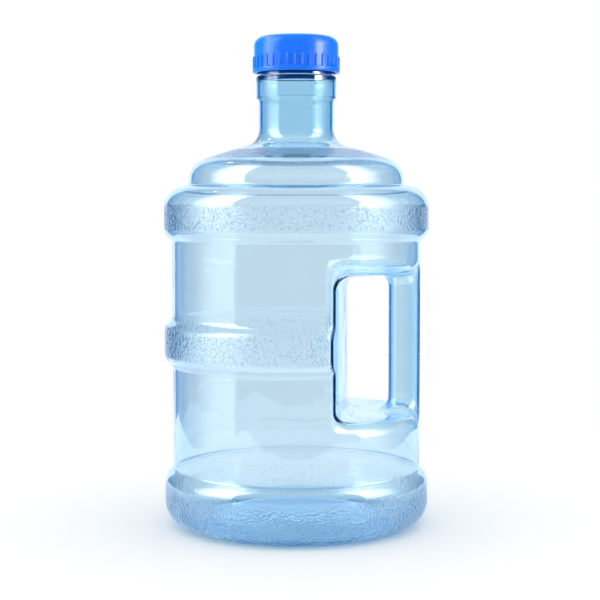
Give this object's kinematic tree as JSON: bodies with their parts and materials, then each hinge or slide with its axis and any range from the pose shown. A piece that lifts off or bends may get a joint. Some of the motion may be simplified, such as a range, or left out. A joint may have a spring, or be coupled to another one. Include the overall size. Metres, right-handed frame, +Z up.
{
  "type": "water jug",
  "caption": "Translucent blue water jug with a hollow hand grip moulded into its side, raised rings, a narrow neck and a ribbed screw cap.",
  "frame": {"origin": "centre of the base, on the surface that the jug stands on", "axes": "+Z up along the axis of the jug and its cap, +X towards the hand grip"},
  "size_m": [0.1844, 0.1844, 0.34],
  "materials": {
    "bottle": "clear blue-tinted polycarbonate, glossy, with a pebbled stipple on the rings",
    "cap": "moulded blue polyethylene, satin gloss",
    "seal": "soft white foam disc"
  },
  "bodies": {
    "jug": {"jug_body": "bottle"},
    "seal": {"cap_seal": "seal"},
    "cap": {"screw_cap": "cap"}
  },
  "joints": [
    {"name": "cap_rise", "type": "slide", "parent": "jug", "child": "seal", "axis": [0, 0, 1], "range_m": [0, 0.025]},
    {"name": "cap_turn", "type": "hinge", "parent": "seal", "child": "cap", "pos_m": [0, 0, 0.33], "axis": [0, 0, 1], "range_deg": [0, 1800]}
  ],
  "couplings": [
    {"joint": "cap_rise", "follows": "cap_turn", "m_per_rad": 0.00079577}
  ]
}
